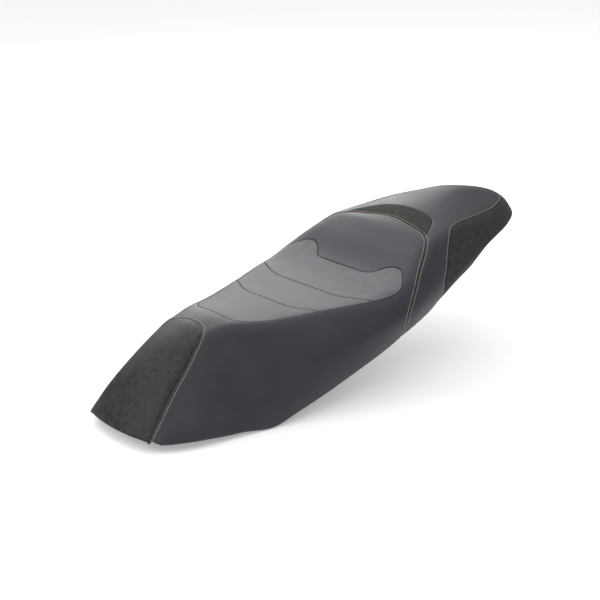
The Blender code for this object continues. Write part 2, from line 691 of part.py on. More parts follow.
leaf("hinge_seat_leaf", SEAT_LEAF, SEAT_EAR, PIVOT_Z - 0.004, SEAT_LEAF[4] - 0.0002, HINGE_BOLT,
     BOLT_RADIUS + HOLE_SLACK, BLACK_STEEL)
frame_leaf = leaf("hinge_frame_leaf", FRAME_LEAF, FRAME_EAR, FRAME_LEAF[3] + 0.0002,
                  PIVOT_Z + 0.004, FRAME_HOLE, 0.0034, BLACK_STEEL)


def turned(name, profile, sides, spot, turn, finish, ring=False):
    """Turned body: profile of (radius, height) from the top down, spun about local Z."""
    mesh = bpy.data.meshes.new(name)
    points = [(r, 0.0, z) for r, z in profile]
    lines = [(k, k + 1) for k in range(len(points) - 1)]
    if ring:
        lines.append((len(points) - 1, 0))
    mesh.from_pydata(points, lines, [])
    made = add_part(name, mesh, finish)
    made.matrix_world = Matrix.Translation(placed(spot)) @ turn
    spin = made.modifiers.new("spin", "SCREW")
    spin.axis = "Z"
    spin.steps = sides
    spin.render_steps = sides
    spin.use_merge_vertices = True
    spin.merge_threshold = 0.00001
    spin.use_smooth_shade = False
    return made


PIN_HEAD = 0.0046
pin_profile = ((0.0, 0.0300), (PIN_HEAD, 0.0300), (PIN_HEAD, 0.0279), (PIN_RADIUS, 0.0279),
               (PIN_RADIUS, -0.0310), (0.0, -0.0310))
turned("hinge_pin", pin_profile, 12, (0, PIVOT_Y, PIVOT_Z), ALONG_X, ZINC)


def washer(name, x_from, x_to, outer, finish):
    bore = PIN_RADIUS + HOLE_SLACK
    profile = ((bore, x_to), (outer, x_to), (outer, x_from), (bore, x_from))
    return turned(name, profile, 14, (0, PIVOT_Y, PIVOT_Z), ALONG_X, finish, True)


washer("hinge_retaining_ring", -0.0290, -0.0278, 0.0052, ZINC)
washer("hinge_bush_left", SEAT_EAR[1] + SEAM_GAP, FRAME_EAR[0] - SEAM_GAP, 0.0055, NYLON)
washer("hinge_bush_right", -FRAME_EAR[0] + SEAM_GAP, -SEAT_EAR[1] - SEAM_GAP, 0.0055, NYLON)


def bolt(name, x, y, seat_z, top_z):
    """Hexagon bolt pushed up through a plate into the pan floor."""
    bm = bmesh.new()
    head = Matrix.Translation(placed((x, y, seat_z - BOLT_HEAD_TALL / 2)))
    bmesh.ops.create_cone(bm, cap_ends=True, segments=6, radius1=BOLT_HEAD, radius2=BOLT_HEAD,
                          depth=BOLT_HEAD_TALL, matrix=head)
    made = add_part(name, closed_mesh(name, bm), ZINC)
    shank = ((x, y, 0.5 * (seat_z - 0.001 + top_z)), BOLT_RADIUS, top_z - seat_z + 0.001, 12, None)
    boolean(made, cutter_mesh(name + "_shank", (shank,)), "UNION")
    return made


for side, sign in (("left", 1), ("right", -1)):
    bolt("hinge_bolt_" + side, sign * HINGE_BOLT[0], HINGE_BOLT[1], SEAT_LEAF[3] - SEAM_GAP,
         floor_top(HINGE_BOLT[1]) - 0.0002)
    bolt("striker_bolt_" + side, sign * STRIKER_BOLT[0], STRIKER_BOLT[1],
         STRIKER_LEAF[3] - SEAM_GAP, floor_top(STRIKER_BOLT[1]) - 0.0002)

# ---------------------------------------------------------------- striker at the tail
half, y_from, y_to, z_from, z_to = STRIKER_LEAF
plate_mesh = bmesh.new()
box_into(plate_mesh, (-half, y_from, z_from), (half, y_to, z_to))
striker_plate = add_part("striker_plate", closed_mesh("striker_plate", plate_mesh), ZINC)
drills = []
for sign in (1, -1):
    drills.append(((sign * STRIKER_BOLT[0], STRIKER_Y, z_from), BOLT_RADIUS + HOLE_SLACK,
                   0.02, 12, None))
    drills.append(((sign * HOOP_HALF, STRIKER_Y, z_from), HOOP_RADIUS + HOLE_SLACK, 0.02, 16, None))
boolean(striker_plate, cutter_mesh("striker_drill", drills), "DIFFERENCE")

hoop_path = [np.array((-HOOP_HALF, STRIKER_Y, z_to - 0.0001))]
for sign in (-1, 1):
    for k in range(6):
        angle = math.radians(90 * k / 5 if sign < 0 else 90 - 90 * k / 5)
        x = sign * (HOOP_HALF - HOOP_BEND + HOOP_BEND * math.cos(angle))
        z = HOOP_LOW + HOOP_BEND * (1 - math.sin(angle))
        hoop_path.append(np.array((x, STRIKER_Y, z)))
hoop_path.append(np.array((HOOP_HALF, STRIKER_Y, z_to - 0.0001)))
tube("striker_hoop", hoop_path, HOOP_RADIUS, ZINC, 3)

# ---------------------------------------------------------------- rubber bumpers
head_top = -0.0003
head_low = head_top - BUMPER_TALL
bumper_profile = ((0.0, 0.0028), (BUMPER_STEM, 0.0028), (BUMPER_STEM, head_top),
                  (BUMPER_RADIUS, head_top), (BUMPER_RADIUS - 0.001, head_low + 0.0015),
                  (BUMPER_RADIUS - 0.0025, head_low), (0.0, head_low))
for label, x, y in BUMPERS:
    for side, sign in (("left", 1), ("right", -1)):
        turned("bumper_" + label + "_" + side, bumper_profile, 12,
               (sign * x, y, floor_under(y)), ramp_turn(y), RUBBER)
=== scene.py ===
"""Two-up scooter seat, dressed: sewn vinyl covers over foam, piping, topstitching, hardware."""

import math

import bmesh
import bpy
import numpy as np
from mathutils import Matrix, Vector, kdtree


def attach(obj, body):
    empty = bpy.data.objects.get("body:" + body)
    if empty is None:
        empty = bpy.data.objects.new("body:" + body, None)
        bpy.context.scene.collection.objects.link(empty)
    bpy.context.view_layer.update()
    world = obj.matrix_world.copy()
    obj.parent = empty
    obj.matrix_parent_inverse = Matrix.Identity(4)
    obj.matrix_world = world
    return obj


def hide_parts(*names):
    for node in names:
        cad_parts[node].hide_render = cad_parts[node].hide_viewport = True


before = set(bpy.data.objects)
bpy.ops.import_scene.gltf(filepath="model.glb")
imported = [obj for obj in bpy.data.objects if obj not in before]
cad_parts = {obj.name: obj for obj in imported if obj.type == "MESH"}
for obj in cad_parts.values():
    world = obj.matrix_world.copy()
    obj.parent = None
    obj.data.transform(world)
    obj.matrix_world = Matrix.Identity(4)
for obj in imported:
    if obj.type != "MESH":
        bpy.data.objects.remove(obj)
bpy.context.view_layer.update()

# ---------------------------------------------------------------- the seat's measures, metres
SHIFT_Y = -0.4005
SHIFT_Z = 0.0124
TAIL_START = 0.620
TAIL_END = 0.810
NOSE_BOW = 0.010
NOSE_HALF = 0.071
NOSE_LIP = 0.001
SKIN = 0.0011              # vinyl with its scrim
ROLL = 0.0013              # radius of a panel edge where it turns down into a sewn seam
PRESS = 0.0010             # the same for the pressed outline of the insert
PULL = 0.0006              # how far the cover is drawn in beside a sewn seam
PRESS_SHARE = 0.35         # how much of that a pressed outline has
PULL_REACH = 0.006         # how far from the seam it fades
MERGE = 0.00002            # panel edges closer than this are one
U_END = TAIL_START + (TAIL_END - TAIL_START) * math.pi / 2

# y, crown z, shoulder x, z and radius, widest x, z, skirt crease x, z, lower edge x, z
STATIONS = np.array([
    (0.000, 0.002, 0.071, 0.001, 0.004, 0.073, 0.000, 0.074, -0.001, 0.074, -0.002),
    (0.030, 0.042, 0.064, 0.039, 0.008, 0.082, 0.018, 0.092, 0.004, 0.094, -0.002),
    (0.070, 0.086, 0.054, 0.079, 0.012, 0.088, 0.038, 0.107, 0.006, 0.109, -0.003),
    (0.110, 0.118, 0.046, 0.113, 0.016, 0.087, 0.057, 0.114, 0.006, 0.116, -0.006),
    (0.135, 0.129, 0.047, 0.125, 0.018, 0.089, 0.062, 0.118, 0.004, 0.120, -0.007),
    (0.180, 0.134, 0.061, 0.130, 0.022, 0.102, 0.063, 0.128, 0.002, 0.128, -0.012),
    (0.230, 0.131, 0.080, 0.127, 0.024, 0.120, 0.066, 0.138, 0.019, 0.136, 0.003),
    (0.310, 0.132, 0.106, 0.131, 0.026, 0.142, 0.080, 0.148, 0.046, 0.143, 0.029),
    (0.395, 0.138, 0.134, 0.138, 0.028, 0.158, 0.096, 0.153, 0.074, 0.145, 0.056),
    (0.450, 0.152, 0.141, 0.1540, 0.030, 0.160, 0.110, 0.153, 0.092, 0.143, 0.075),
    (0.500, 0.184, 0.126, 0.182, 0.030, 0.154, 0.124, 0.147, 0.106, 0.137, 0.090),
    (0.535, 0.202, 0.117, 0.197, 0.030, 0.146, 0.134, 0.141, 0.118, 0.130, 0.103),
    (0.590, 0.212, 0.111, 0.2015, 0.030, 0.137, 0.150, 0.129, 0.136, 0.118, 0.121),
    (0.635, 0.2180, 0.110, 0.203, 0.030, 0.130, 0.163, 0.117, 0.146, 0.107, 0.132),
    (0.665, 0.2215, 0.110, 0.2045, 0.030, 0.127, 0.172, 0.113, 0.160, 0.104, 0.152),
    (0.700, 0.2235, 0.109, 0.2060, 0.030, 0.125, 0.180, 0.113, 0.170, 0.105, 0.162),
    (0.750, 0.2245, 0.108, 0.2110, 0.028, 0.123, 0.186, 0.115, 0.175, 0.109, 0.167),
    (0.810, 0.2245, 0.106, 0.211, 0.026, 0.121, 0.184, 0.115, 0.173, 0.110, 0.165),
])

# seams, each as (u, s): u runs nose to tail, s from the crown to the lower edge
NOSE_SEAM = ((0.141, 0.0), (0.141, 0.04), (0.138, 0.16), (0.128, 0.30), (0.112, 0.42),
             (0.090, 0.49), (0.060, 0.495), (0.030, 0.50), (NOSE_LIP, 0.50))
STEP_SEAM = ((0.555, 0.0), (0.555, 0.02), (0.552, 0.06), (0.547, 0.12), (0.542, 0.195),
             (0.534, 0.262), (0.526, 0.31), (0.514, 0.357), (0.500, 0.40), (0.471, 0.47),
             (0.448, 0.60), (0.434, 0.82), (0.434, 1.0))
PATCH_REAR = ((0.597, 0.0), (0.597, 0.03), (0.596, 0.06), (0.593, 0.105))
PATCH_SIDE = ((0.593, 0.105), (0.588, 0.142), (0.579, 0.172), (0.560, 0.212), (0.534, 0.262))
TAIL_SEAM_SIDE = ((0.532, 1.0), (0.530, 0.82), (0.543, 0.70), (0.564, 0.50), (0.580, 0.385))
TAIL_SEAM_CORNER = ((0.580, 0.385), (0.592, 0.325), (0.606, 0.297))
TAIL_SEAM_TOP = ((0.606, 0.297), (0.625, 0.285), (0.660, 0.292), (0.700, 0.312),
                 (0.760, 0.348), (0.830, 0.365), (U_END, 0.365))
INSERT_FRONT = ((0.180, 0.0), (0.180, 0.13), (0.182, 0.21), (0.187, 0.27), (0.198, 0.312))
INSERT_SIDE_A = ((0.198, 0.312), (0.231, 0.324), (0.268, 0.335), (0.305, 0.342))
INSERT_SIDE_B = ((0.305, 0.342), (0.335, 0.347), (0.364, 0.356), (0.388, 0.376))
INSERT_SIDE_C = ((0.388, 0.376), (0.406, 0.398), (0.424, 0.416), (0.438, 0.398))
INSERT_REAR = ((0.438, 0.398), (0.449, 0.33), (0.459, 0.275), (0.467, 0.235), (0.468, 0.195),
               (0.464, 0.155), (0.455, 0.125), (0.446, 0.105), (0.442, 0.075), (0.442, 0.03),
               (0.442, 0.0))
FOLD_A = ((0.282, 0.0), (0.282, 0.11), (0.286, 0.165), (0.295, 0.245), (0.305, 0.342))
FOLD_B = ((0.361, 0.0), (0.361, 0.12), (0.367, 0.19), (0.376, 0.265), (0.388, 0.376))
LOWER_EDGE = ((0.014, 1.0), (0.120, 1.0), (0.240, 1.0), (0.350, 1.0), (0.434, 1.0))
SPLINE_KNOTS = np.array((0, 0, 0, 0, 0.2, 0.4, 0.6, 0.8, 1, 1, 1, 1))


# ---------------------------------------------------------------- the padded surface
def knot_slopes(knots, values):
    """Slopes at the knots of a curve that never overshoots them."""
    step = np.diff(knots)
    rise = np.diff(values, axis=0) / step[:, None]
    slope = np.zeros_like(values)
    slope[0] = rise[0]
    slope[-1] = rise[-1]
    for k in range(1, len(knots) - 1):
        same = rise[k - 1] * rise[k] > 0
        first = 2 * step[k] + step[k - 1]
        second = step[k] + 2 * step[k - 1]
        safe_a = np.where(same, rise[k - 1], 1.0)
        safe_b = np.where(same, rise[k], 1.0)
        slope[k] = np.where(same, (first + second) / (first / safe_a + second / safe_b), 0.0)
    return slope


def smooth_through(knots, values, slope, at):
    """Cubic values at many positions, through the knots."""
    at = np.clip(at, knots[0], knots[-1])
    k = np.clip(np.searchsorted(knots, at) - 1, 0, len(knots) - 2)
    span = (knots[k + 1] - knots[k])[:, None]
    t = (at - knots[k])[:, None] / span
    lift = (1 + 2 * t) * (1 - t) ** 2 * values[k] + t * t * (3 - 2 * t) * values[k + 1]
    bend = t * (1 - t) ** 2 * slope[k] - t * t * (1 - t) * slope[k + 1]
    return lift + span * bend


STATION_SLOPES = knot_slopes(STATIONS[:, 0], STATIONS[:, 1:])


def section_at(y, s):
    """Points (x, z) on the half sections at y, by repeated blending of eight control points."""
    row = smooth_through(STATIONS[:, 0], STATIONS[:, 1:], STATION_SLOPES, y)
    zc, xs, zs, r, xm, zm, xk, zk, xb, zb = row.T
    corner = np.stack((xs, zs), -1)
    widest = np.stack((xm, zm), -1)
    down = widest - corner
    down = down / np.maximum(np.linalg.norm(down, axis=1), 1e-9)[:, None]
    control = np.stack((
        np.stack((0 * zc, zc), -1), np.stack((0.4 * (xs - r), zc), -1),
        np.stack((xs - r, zs + 0.35 * (zc - zs)), -1), corner, corner + r[:, None] * down,
        widest, np.stack((xk, zk), -1), np.stack((xb, zb), -1)), 1)
    s = np.clip(s, 0.0, 1.0)
    span = np.minimum((s * 5).astype(int), 4)
    every = np.arange(len(s))
    work = [control[every, span + j] for j in range(4)]
    for level in range(1, 4):
        for j in range(3, level - 1, -1):
            low = SPLINE_KNOTS[j + span]
            high = SPLINE_KNOTS[j + 4 + span - level]
            share = ((s - low) / (high - low))[:, None]
            work[j] = (1 - share) * work[j - 1] + share * work[j]
    return work[3]


WIDE_AT = np.linspace(TAIL_START, TAIL_END, 120)
WIDEST = np.max([section_at(WIDE_AT, np.full(120, k / 40))[:, 0] for k in range(41)], axis=0)


def seat_point(u, s):
    """Outer surface of the padded seat, +X half, for arrays of u and s."""
    turn = np.clip((u - TAIL_START) / (TAIL_END - TAIL_START), 0.0, math.pi / 2)
    reach = np.sin(turn)
    level = np.where(u <= TAIL_START, u, TAIL_START + (TAIL_END - TAIL_START) * reach)
    wide = section_at(level, s)[:, 0]
    end = TAIL_END - (np.interp(level, WIDE_AT, WIDEST) - wide)
    y = np.where(u <= TAIL_START, u, TAIL_START + (end - TAIL_START) * reach)
    z = section_at(y, s)[:, 1]
    x = wide * np.cos(turn)
    bow = np.maximum(0.0, 1 - y / 0.16) ** 1.5 * np.maximum(0.0, 1 - (x / NOSE_HALF) ** 2)
    return np.stack((x, y - NOSE_BOW * bow, z), -1)


def seat_slopes(u, s):
    """How the surface runs along u and round s, per unit of each."""
    u = np.clip(u, 0.002, U_END - 0.004)
    s = np.clip(s, 0.004, 0.996)
    along = (seat_point(u + 0.002, s) - seat_point(u - 0.002, s)) / 0.004
    around = (seat_point(u, s + 0.004) - seat_point(u, s - 0.004)) / 0.008
    return along, around


def on_middle(u, s):
    return (s < 1e-6) | (u > U_END - 1e-6)


def seat_normal(u, s):
    """Outward direction, kept on the middle plane where the seat closes."""
    along, around = seat_slopes(u, s)
    out = np.cross(around, along)
    out[on_middle(u, s), 0] = 0.0
    return out / np.linalg.norm(out, axis=1)[:, None]


def below(u, s, depth):
    """Points under the surface by depth."""
    points = seat_point(u, s) - np.reshape(depth, (-1, 1)) * seat_normal(u, s)
    points[on_middle(u, s), 0] = 0.0
    return points


def placed(points):
    return points + np.array((0.0, SHIFT_Y, SHIFT_Z))


def run(knots, count, near=0.0, far=0.0):
    """count + 1 places (u, s) along a smooth curve; near and far gather them at its ends."""
    knots = np.array(knots, dtype=float)
    gaps = np.diff(knots, axis=0) * (1.0, 0.25)
    along = np.concatenate(((0.0,), np.cumsum(np.hypot(gaps[:, 0], gaps[:, 1]))))
    t = np.linspace(0.0, 1.0, count + 1)
    t = t - near * t * (1 - t) ** 2 + far * t ** 2 * (1 - t)
    return smooth_through(along, knots, knot_slopes(along, knots), t * along[-1])


def joined(*runs):
    """Runs end to end, without repeating the shared places."""
    return np.concatenate([runs[0]] + [piece[1:] for piece in runs[1:]])


def patch(front, rear, middle, side, fade=1):
    """Grid of (u, s) filling four edges; front and rear run from the middle to the side."""
    a = np.linspace(0, 1, len(front))[:, None, None]
    b = np.linspace(0, 1, len(middle))[None, :, None]
    bend_near = middle[None] - (1 - b) * front[0] - b * rear[0]
    bend_far = side[None] - (1 - b) * front[-1] - b * rear[-1]
    spot = (1 - b) * front[:, None] + b * rear[:, None]
    return spot + (1 - a) ** fade * bend_near + a ** fade * bend_far


# ---------------------------------------------------------------- materials
def hue(code):
    """sRGB hex to linear colour."""
    parts = [int(code[k:k + 2], 16) / 255 for k in (1, 3, 5)]
    return (*[c / 12.92 if c <= 0.04045 else ((c + 0.055) / 1.055) ** 2.4 for c in parts], 1.0)


def add(tree, kind, values=None, **settings):
    """One node: settings are its options, values its sockets, which may be another's output."""
    made = tree.nodes.new(kind)
    for name, value in settings.items():
        setattr(made, name, value)
    for name, value in (values or {}).items():
        if isinstance(value, bpy.types.NodeSocket):
            tree.links.new(value, made.inputs[name])
        else:
            made.inputs[name].default_value = value
    return made


def finish_of(name, rough, metal=0.0, **sockets):
    """A new material with its shader's plain sockets set."""
    made = bpy.data.materials.new(name)
    made.use_nodes = True
    tree = made.node_tree
    shader = tree.nodes["Principled BSDF"]
    shader.inputs["Roughness"].default_value = rough
    shader.inputs["Metallic"].default_value = metal
    for socket, value in sockets.items():
        shader.inputs[socket.replace("_", " ")].default_value = value
    place = add(tree, "ShaderNodeTexCoord").outputs["Object"]
    return made, tree, shader, place


def ramp(tree, factor, stops):
    """Colour ramp between two (position, colour) stops."""
    made = add(tree, "ShaderNodeValToRGB", {"Fac": factor})
    for stop, (spot, colour) in zip(made.color_ramp.elements, stops):
        stop.position = spot
        stop.color = colour
    return made.outputs["Color"]


SPREAD = 0.16              # half of the noise range that runs from the dark to the light tone


def hide(name, dark, light, rough, cloud_mm, grain_mm, grain_depth, seam=0.45, **sockets):
    """Coated or napped cover material: cloudy colour, cell grain, and painted shade darkening it
    beside its seams.
    """
    made, tree, shader, place = finish_of(name, rough, **sockets)
    cloud = add(tree, "ShaderNodeTexNoise", {"Vector": place, "Scale": 1000 / cloud_mm,
                                             "Detail": 4.0, "Roughness": 0.6})
    speck = add(tree, "ShaderNodeTexNoise", {"Vector": place, "Scale": 1000 / (1.6 * grain_mm),
                                             "Detail": 3.0, "Roughness": 0.65})
    both = add(tree, "ShaderNodeMix", {"Factor": 0.32, "A": cloud.outputs["Fac"],
                                       "B": speck.outputs["Fac"]}, data_type="FLOAT")
    tone = ramp(tree, both.outputs["Result"],
                ((0.5 - SPREAD, hue(dark)), (0.5 + SPREAD, hue(light))))
    # painted shade: the seam attribute, scaled by seam, mixes the colour towards near black #0B0B0C
    # beside every seam, for the shadow in its groove
    painted_seam_shade = add(tree, "ShaderNodeAttribute", attribute_name="seam").outputs["Fac"]
    depth = add(tree, "ShaderNodeMath", {0: painted_seam_shade, 1: seam}, operation="MULTIPLY").outputs[0]
    mixed = add(tree, "ShaderNodeMix", data_type="RGBA")
    for socket, value in ((0, depth), (6, tone)):
        tree.links.new(value, mixed.inputs[socket])
    mixed.inputs[7].default_value = hue("#0B0B0C")
    tree.links.new(mixed.outputs[2], shader.inputs["Base Color"])
    cells = add(tree, "ShaderNodeTexVoronoi", {"Vector": place, "Scale": 1000 / grain_mm},
                feature="SMOOTH_F1")
    shape = add(tree, "ShaderNodeMix", {"Factor": 0.45, "A": cells.outputs["Distance"],
                                        "B": speck.outputs["Fac"]}, data_type="FLOAT")
    bump = add(tree, "ShaderNodeBump", {"Strength": 0.55, "Distance": grain_depth,
                                        "Height": shape.outputs["Result"]})
    tree.links.new(bump.outputs["Normal"], shader.inputs["Normal"])
    shine = add(tree, "ShaderNodeMapRange", {"Value": cloud.outputs["Fac"], "From Min": 0.3,
                                             "From Max": 0.7, "To Min": rough - 0.05,
                                             "To Max": rough + 0.06})
    tree.links.new(shine.outputs["Result"], shader.inputs["Roughness"])
    return made


def hard(name, dark, light, rough, metal, cloud_mm, bump_mm, depth, **sockets):
    """Moulded, plated or painted material: faint cloudiness and a fine surface texture."""
    made, tree, shader, place = finish_of(name, rough, metal, **sockets)
    cloud = add(tree, "ShaderNodeTexNoise", {"Vector": place, "Scale": 1000 / cloud_mm,
                                             "Detail": 5.0, "Roughness": 0.6})
    tone = ramp(tree, cloud.outputs["Fac"], ((0.35, hue(dark)), (0.65, hue(light))))
    tree.links.new(tone, shader.inputs["Base Color"])
    fine = add(tree, "ShaderNodeTexNoise", {"Vector": place, "Scale": 1000 / bump_mm,
                                            "Detail": 2.0})
    bump = add(tree, "ShaderNodeBump", {"Strength": 0.4, "Distance": depth,
                                        "Height": fine.outputs["Fac"]})
    tree.links.new(bump.outputs["Normal"], shader.inputs["Normal"])
    shine = add(tree, "ShaderNodeMapRange", {"Value": cloud.outputs["Fac"], "From Min": 0.3,
                                             "From Max": 0.7, "To Min": rough - 0.06,
                                             "To Max": rough + 0.06})
    tree.links.new(shine.outputs["Result"], shader.inputs["Roughness"])
    return made


# calendered PVC-coated knit, smooth fine grain: blue-grey, satin
CHARCOAL = hide("charcoal_coated_vinyl", "#33343A", "#3B3C42", 0.48, 60, 0.7, 0.00005,
                Specular_IOR_Level=0.34)
# matte soft-touch PVC of the seat insert: neutral mid grey with chalky clouds
GREY = hide("grey_matte_vinyl", "#5B5C5F", "#6E6F72", 0.60, 26, 0.8, 0.00006, seam=0.8,
            Specular_IOR_Level=0.34)
# embossed leather-grain PVC of the nose: near black; its lighter clouds are partly the vinyl's own
# mottling and partly painted highlight for the sheen on its grain
GRAIN = hide("black_leather_grain_vinyl", "#111111", "#363636", 0.46, 8, 2.4, 0.00040,
             Specular_IOR_Level=0.3)
# brushed suede-look microfibre: brown black, nap brushed into soft patches
SUEDE = hide("black_suede_microfibre", "#272625", "#434240", 0.92, 7, 0.9, 0.00012,
             Sheen_Weight=0.16, Sheen_Roughness=0.5, Specular_IOR_Level=0.2,
             Sheen_Tint=hue("#8C8B88"))
# extruded PVC piping, satin black
PIPING = hard("black_pvc_piping", "#11110E", "#191814", 0.45, 0.0, 8, 0.6, 0.00002)
# bonded polyester thread, tan gold, slightly lustrous twist
THREAD = hard("tan_bonded_thread", "#9A8F6E", "#BBB08C", 0.50, 0.0, 3, 0.35, 0.00008)
# cold-cured moulded polyurethane foam, open pores, cream turning yellow
FOAM = hard("moulded_cream_foam", "#CDBE93", "#DCCFA9", 0.95, 0.0, 22, 0.9, 0.00030)
# injection-moulded polypropylene pan, fine spark texture
PLASTIC = hard("moulded_black_polypropylene", "#161617", "#1E1E1F", 0.55, 0.0, 30, 0.5, 0.00004)
# zinc-plated steel, bright passivate with faint yellow clouds
ZINC = hard("zinc_plated_steel", "#A9A89F", "#BDBDB8", 0.32, 1.0, 7, 0.4, 0.00001)
# steel dipped in black electrocoat, semi gloss
ECOAT = hard("black_electrocoated_steel", "#141415", "#1B1B1C", 0.38, 0.0, 12, 0.7, 0.00002)
# natural injection-moulded nylon, waxy off-white
NYLON = hard("natural_nylon", "#CFCBBD", "#DBD8CC", 0.42, 0.0, 9, 0.8, 0.00001)
# moulded rubber, dull black with a dusty bloom
RUBBER = hard("moulded_black_rubber", "#171717", "#242423", 0.78, 0.0, 6, 0.6, 0.00004)
# galvanised staple wire
WIRE = hard("galvanised_wire", "#8F9091", "#A5A6A7", 0.38, 1.0, 5, 0.4, 0.00001)


# ---------------------------------------------------------------- making pieces
def shown(name, bm, finish, body="seat", stands_for=()):
    """Closes a bmesh into a smooth piece that rides on a body."""
    mesh = bpy.data.meshes.new(name)
    bm.to_mesh(mesh)
    bm.free()
    mesh.polygons.foreach_set("use_smooth", np.ones(len(mesh.polygons), bool))
    mesh.materials.append(finish)
    made = bpy.data.objects.new(name, mesh)
    bpy.context.scene.collection.objects.link(made)
    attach(made, body)
    if stands_for:
        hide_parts(*stands_for)
    return made


def line_tree(places):
    """Search tree over a seam's points, filled in every half millimetre or so."""
    index = np.linspace(0, len(places) - 1, 12 * len(places))
    fine = np.stack([np.interp(index, np.arange(len(places)), places[:, k]) for k in (0, 1)], -1)
    points = seat_point(fine[:, 0], fine[:, 1])
    tree = kdtree.KDTree(len(points))
    for k, point in enumerate(points):
        tree.insert(point, k)
    tree.balance()
    return tree


def distance_to(trees, points):
    return np.array([min(tree.find(p)[2] for tree in trees) for p in points])


# the hem's steps inwards and down; the nose lip lengthens one to reach the pan's front wall
HEM_PATH = ((0.0004, 0.0007), (0.0012, 0.0006), (0.0018, 0.0002), (0.0042, 0.0), (0.0014, -0.0003),
            (0.0004, -0.0012), (0.0, -0.0044))
LONG_STEP = 3
PAN_FRONT = SHIFT_Y + 0.024


def fold_hem(bm, mark, aside):
    """Turns the lower edge in under the rim of the pan and up its inner face."""
    def is_hem(edge):
        return edge.is_boundary and all(v[mark] > 0.5 for v in edge.verts)

    edges = [edge for edge in bm.edges if is_hem(edge)]
    for v in {v for edge in edges for v in edge.verts}:
        v[mark] = 1.0 + (max(0.0, PAN_FRONT - v.co.y) if v[aside].y > 0.3 else 0.0)
    for step, (inwards, down) in enumerate(HEM_PATH):
        geom = bmesh.ops.extrude_edge_only(bm, edges=edges)["geom"]
        fresh = {g for g in geom if isinstance(g, bmesh.types.BMVert)}
        edges = [g for g in geom if isinstance(g, bmesh.types.BMEdge)
                 and g.verts[0] in fresh and g.verts[1] in fresh]
        for v in fresh:
            extra = v[mark] - 1.0 if step == LONG_STEP else 0.0
            v.co += v[aside] * (inwards + extra) - Vector((0.0, 0.0, down))


def cover(name, grids, seams, finish, stands_for, hem=None):
    """Sewn cover panel from grids of (u, s).

    Seams are (run, roll radius), and hem tells which places lie on the edge that folds under the
    pan.
    """
    bm = bmesh.new()
    # the seam layer carries painted shade: how dark the cover is painted beside its seams
    shade = bm.verts.layers.float.new("seam")
    mark = bm.verts.layers.float.new("hem")
    aside = bm.verts.layers.float_vector.new("aside")
    groups = {}
    for places, roll in seams:
        groups.setdefault(roll, []).append(line_tree(places))
    for grid in grids:
        wide, deep = grid.shape[0] - 1, grid.shape[1] - 1
        corners = bmesh.ops.create_grid(bm, x_segments=wide, y_segments=deep, size=0.5)["verts"]
        spot = np.array([v.co for v in corners])
        i = np.rint((spot[:, 0] + 0.5) * wide).astype(int)
        j = np.rint((spot[:, 1] + 0.5) * deep).astype(int)
        u, s = grid[i, j, 0], grid[i, j, 1]
        flat = seat_point(u, s)
        depth = np.zeros(len(u))
        dark = np.zeros(len(u))
        for roll, trees in groups.items():
            away = distance_to(trees, flat)
            over = np.clip(1 - away / roll, 0, 1)
            rolled = 1.5 * roll * (1 - np.sqrt(np.maximum(0.0, 1 - over ** 2)))
            pull = PULL if roll == ROLL else PRESS_SHARE * PULL
            depth = np.maximum(depth, rolled + pull * np.exp(-away / PULL_REACH))
            # painted shade: darker close to each seam, fading out within about a roll radius
            dark = np.maximum(dark, np.exp(-(away / (0.9 * roll)) ** 2))
        points = placed(below(u, s, depth))
        inwards = -seat_normal(u, s) * (1.0, 1.0, 0.0)
        for v, point, seam_shade_amount, inward, us in zip(corners, points, dark, inwards, zip(u, s)):
            v.co = point
            v[shade] = seam_shade_amount
            v[mark] = 1.0 if hem and hem(*us) else 0.0
            v[aside] = Vector(inward).normalized()
    bmesh.ops.remove_doubles(bm, verts=bm.verts, dist=MERGE)
    bmesh.ops.recalc_face_normals(bm, faces=bm.faces)
    bmesh.ops.mirror(bm, geom=bm.verts[:] + bm.edges[:] + bm.faces[:], axis="X",
                     merge_dist=MERGE)
    for v in bm.verts:
        if v.co.x < -MERGE:
            v[aside] = v[aside] * Vector((-1.0, 1.0, 1.0))
    bmesh.ops.recalc_face_normals(bm, faces=bm.faces)
    top = max(bm.verts, key=lambda v: v.co.z)
    bm.normal_update()
    if top.normal.z < 0:
        bmesh.ops.reverse_faces(bm, faces=bm.faces)
    if hem:
        fold_hem(bm, mark, aside)
    bm.verts.layers.float.remove(mark)
    bm.verts.layers.float_vector.remove(bm.verts.layers.float_vector["aside"])
    made = shown(name, bm, finish, stands_for=stands_for)
    wall = made.modifiers.new("skin", "SOLIDIFY")
    wall.thickness = SKIN
    wall.offset = -1.0


FINE = 8                   # grid lines to each coarse step of a panel
GATHER = 0.72              # how strongly grid lines gather at a seam


def under_edge(u, s):
    """Whether a place lies on the lower edge."""
    return s > 0.9999


front_edge = run(((NOSE_LIP, 0.50), (0.006, 0.80), (0.014, 1.0)), 6 * FINE, near=GATHER)


def under_nose(u, s):
    """The same, with the front lip and the corner between them."""
    corner = s > 0.4999 and u < np.interp(s, front_edge[:, 1], front_edge[:, 0]) + 0.0001
    return u < NOSE_LIP + 0.0001 or s > 0.9999 or corner


def middle_line(start, end, steps):
    """Run along the crown between two seams, its lines gathered at both."""
    return run(((start, 0.0), (end, 0.0)), steps * FINE, GATHER, GATHER)


